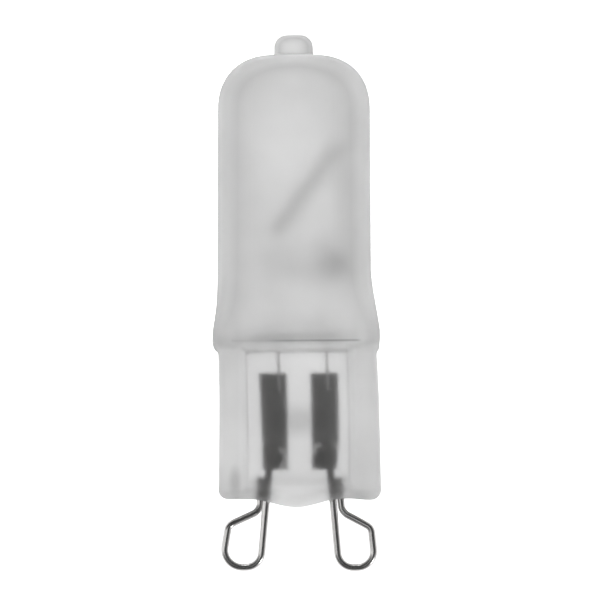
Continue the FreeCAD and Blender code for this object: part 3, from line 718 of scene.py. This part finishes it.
for name, side in (("left", -1), ("right", 1)):
    mesh = bmesh.new()
    middle = Vector((side * FOIL_MIDDLE, FOIL_FOOT + FOIL_HEIGHT / 2, FOIL_Z)) * MM
    size = Matrix.Diagonal((FOIL_WIDTH, FOIL_HEIGHT, 1, 1))
    bmesh.ops.create_grid(mesh, x_segments=6, y_segments=24, size=0.5 * MM,
                          matrix=Matrix.Translation(middle) @ size)
    bmesh.ops.solidify(mesh, geom=mesh.faces[:], thickness=FOIL_THICK * MM)
    for vertex in mesh.verts:
        out = side * (vertex.co.x / MM - side * FOIL_MIDDLE) / (FOIL_WIDTH / 2)
        up = (vertex.co.y / MM - FOIL_FOOT) / FOIL_HEIGHT
        if abs(out) > 0.99:
            vertex.co.z = FOIL_Z * MM
        if out > 0:
            kept = up if side < 0 else smooth(up / TRIM_TOP)
            vertex.co.x -= side * out * TRIM * (1 - kept) * MM
    bmesh.ops.remove_doubles(mesh, verts=mesh.verts, dist=0.001 * MM)
    bmesh.ops.recalc_face_normals(mesh, faces=mesh.faces)
    piece(mesh, "foil_" + name, "molybdenum_foil_" + name, "molybdenum_foil", molybdenum)

# %% [markdown]
# ## The bridge
# A short quartz rod holds the two tungsten leads apart above the cavity's
# floor. A plain cylinder with its rims rounded is all it needs, because a
# flame melts the cut ends of such a rod round.

# %% Bridge rod
ROD_MIDDLE, ROD_LENGTH, ROD_RADIUS, ROD_ROUND = (0.45, 18.8, 0), 8.2, 1.15, 0.45

mesh = bmesh.new()
lying = Matrix.Translation(Vector(ROD_MIDDLE) * MM) @ Matrix.Rotation(math.pi / 2, 4, "Y")
bmesh.ops.create_cone(mesh, cap_ends=True, segments=48, radius1=ROD_RADIUS * MM,
                      radius2=ROD_RADIUS * MM, depth=ROD_LENGTH * MM, matrix=lying)
rims = [edge for edge in mesh.edges if abs(edge.verts[0].co.x - edge.verts[1].co.x) < 0.01 * MM]
bmesh.ops.bevel(mesh, geom=rims, offset=ROD_ROUND * MM, segments=8, profile=0.5, affect="EDGES",
                material=-1)
bmesh.ops.recalc_face_normals(mesh, faces=mesh.faces)
piece(mesh, "bridge_rod", "quartz_bridge", "clear_quartz", rod_quartz)

# %% [markdown]
# ## The inner leads
# Each tungsten lead starts on its foil, is melted through the bridge, and then
# leans to the end of the coil that it carries: the left one to the low end and
# the right one to the high end. The wire bender makes them too.

# %% Inner leads
LEAD = 0.2
# Each corner has its x, y, z and bend radius in mm.
LEADS = {
    "left": ((-1.57, 8.7, -0.055, 0), (-1.57, 20.4, -0.055, 0.5), (-1.52, 20.98, 2.3, 0.4),
             (-1.5, 21.75, 2.4, 0)),
    "right": ((2.33, 8.7, -0.055, 0), (2.33, 20.4, -0.055, 0.5), (3.72, 21.2, 1.5, 0.5),
              (3.75, 28.7, 1.5, 0)),
}
for name, route in LEADS.items():
    piece(bent_wire(route, LEAD, sides=16), "tungsten_lead_" + name, "inner_lead_" + name,
          "tungsten", tungsten)

# %% [markdown]
# ## The filament
# The glowing part is fine tungsten wound into a coil. It is a spin with a
# step: the wire's section goes round the coil's axis and moves a little along
# it at every step. We lay the coil along Z first and then turn it onto its
# slanting line between the two leads.

# %% Filament
COIL_RADIUS, COIL_WIRE, TURNS, STEPS = 0.5, 0.12, 21, 20
LOW_END, HIGH_END = Vector((-1.5, 21.45, 2.3)) * MM, Vector((3.6, 28.35, 1.5)) * MM

line = HIGH_END - LOW_END
mesh = bmesh.new()
drawn = mesh.verts.layers.float_vector.new("drawn")
section = Matrix.Translation((COIL_RADIUS * MM, 0, 0)) @ Matrix.Rotation(math.pi / 2, 4, "X")
bmesh.ops.create_circle(mesh, cap_ends=False, segments=10, radius=COIL_WIRE / 2 * MM,
                        matrix=section)
bmesh.ops.spin(mesh, geom=mesh.verts[:] + mesh.edges[:], cent=(0, 0, 0), axis=(0, 0, 1),
               dvec=(0, 0, line.length / (TURNS * STEPS)), angle=math.tau * TURNS,
               steps=TURNS * STEPS)
for vertex in mesh.verts:
    vertex[drawn] = vertex.co
bmesh.ops.edgeloop_fill(mesh, edges=[edge for edge in mesh.edges if edge.is_boundary])
bmesh.ops.recalc_face_normals(mesh, faces=mesh.faces)
slanting = line.to_track_quat("Z", "Y").to_matrix().to_4x4()
bmesh.ops.transform(mesh, verts=mesh.verts, matrix=Matrix.Translation(LOW_END) @ slanting)
piece(mesh, "filament_coil", "filament", "tungsten", coil_tungsten)

# %% [markdown]
# ## The pale floor
# The photograph has a pure white ground without a shadow, which means that
# the ground is lit as brightly as the paper can show. Very strong lamps could
# do that, but they would wash out the bulb too. A matt floor that glows a
# little itself gives the white and lights the etched glass softly from behind.

# %% Pale floor
FLOOR_HALF = 3.0

# Matt white paper: it takes no gloss from the lamps and shows no edge.
paper, tree, shader = material("matt_white_ground")
shader.inputs["Base Color"].default_value = colour("#F2F2F2")
shader.inputs["Roughness"].default_value = 0.9
shader.inputs["Emission Color"].default_value = colour("#FFFFFF")
shader.inputs["Emission Strength"].default_value = 0.95

floor_data = bpy.data.meshes.new("pale_floor")
mesh = bmesh.new()
bmesh.ops.create_grid(mesh, x_segments=1, y_segments=1, size=FLOOR_HALF,
                      matrix=Matrix.Translation((0, 0, cad_low.z)))
mesh.to_mesh(floor_data)
mesh.free()
floor = bpy.data.objects.new("pale_floor", floor_data)
bpy.context.collection.objects.link(floor)
floor_data.materials.append(paper)
print("floor at", round(cad_low.z / MM, 2), "mm")

# %% [markdown]
# ## The studio sky
# The polished loops are dark in the middle with bright edges, so the room
# above the lamp was dark and its walls were pale. The sky is a gradient from
# the horizon up, with one pale panel at the left for the wires' bright sides.
# The panel could be a lamp of its own, but in the sky it lights the loops'
# mirror without a shadow. It fades out to its sides and towards the zenith.

# %% Studio sky
SKY_TONES = ((0.0, "#FFFFFF"), (0.12, "#F0F0F0"), (0.3, "#A0A0A0"), (0.5, "#5E5E5E"),
             (0.8, "#4E4E4E"))
PANEL_LIGHT = (1.6, 1.6, 1.6, 1)
PANEL_FULL, PANEL_GONE = 0.06, 0.2
PANEL_FROM, PANEL_WHOLE = -0.05, -0.35

world = bpy.data.worlds.new("studio")
bpy.context.scene.world = world
world.use_nodes = True
tree = world.node_tree
toward = add(tree, "ShaderNodeTexCoord")
parts = add(tree, "ShaderNodeSeparateXYZ", {}, {"Vector": toward.outputs["Generated"]})
height = add(tree, "ShaderNodeValToRGB", {"stops": SKY_TONES}, {"Fac": parts.outputs["Z"]})
beside = add(tree, "ShaderNodeMath", {"operation": "ABSOLUTE"}, {0: parts.outputs["Y"]})
across = add(tree, "ShaderNodeMapRange",
             {"interpolation_type": "SMOOTHSTEP", "From Min": PANEL_FULL, "From Max": PANEL_GONE,
              "To Min": 1.0, "To Max": 0.0}, {"Value": beside.outputs[0]})
left = add(tree, "ShaderNodeMapRange",
           {"interpolation_type": "SMOOTHSTEP", "From Min": PANEL_FROM, "From Max": PANEL_WHOLE},
           {"Value": parts.outputs["X"]})
panel = add(tree, "ShaderNodeMath", {"operation": "MULTIPLY"},
            {0: across.outputs["Result"], 1: left.outputs["Result"]})
sky = add(tree, "ShaderNodeMix", {"data_type": "RGBA", 7: PANEL_LIGHT},
          {0: panel.outputs[0], 6: height.outputs["Color"]})
tree.links.new(sky.outputs[2], tree.nodes["Background"].inputs["Color"])
print("made", world.name)

# %% [markdown]
# ## Two soft lamps
# A soft lamp above the dome lights the crown, and a weak one at the lower
# right evens the two edges of the tube. Both are round disks and not points,
# because a large source gives no hard highlight, and both look at the bulb.

# %% Lamps
# Each lamp has its diameter in metres, its watts and its place in metres.
LAMPS = (("soft_lamp", 0.25, 1.0, (-0.05, 0.62, 0.13)), ("fill_lamp", 0.1, 0.7, (0.4, -0.3, 0.25)))

for name, size, watts, spot in LAMPS:
    lamp_data = bpy.data.lights.new(name, "AREA")
    lamp_data.shape = "DISK"
    lamp_data.size = size
    lamp_data.energy = watts
    lamp = bpy.data.objects.new(name, lamp_data)
    bpy.context.collection.objects.link(lamp)
    lamp.location = spot
    lamp.rotation_euler = (-lamp.location).to_track_quat("-Z", "Y").to_euler()
    print(name, watts, "W")

# %% [markdown]
# ## The camera
# The photo looks square on to the bulb's broad side, and the bulb lies in it
# turned by a third of a degree, so the camera rolls by that. It stands 0.4 m
# off with a long lens, because the photo shows hardly any difference in size
# between near and far. The lens is worked out from the width that the picture
# takes in at the bulb.

# %% Camera
SENSOR = 36.0
DISTANCE, FRAME_WIDTH, ROLL = 400.0, 48.31, -0.35
PICTURE_MIDDLE = (0.306, 15.98)

camera_data = bpy.data.cameras.new("camera")
camera = bpy.data.objects.new("camera", camera_data)
bpy.context.collection.objects.link(camera)
camera_data.sensor_width = SENSOR
camera_data.lens = SENSOR * DISTANCE / FRAME_WIDTH
camera_data.clip_start = 0.01
camera_data.clip_end = 20
camera.location = Vector((*PICTURE_MIDDLE, DISTANCE)) * MM
camera.rotation_euler = (0, 0, math.radians(ROLL))
bpy.context.scene.camera = camera
bpy.context.scene.view_settings.view_transform = "Standard"
print("camera at", [round(c, 4) for c in camera.location])
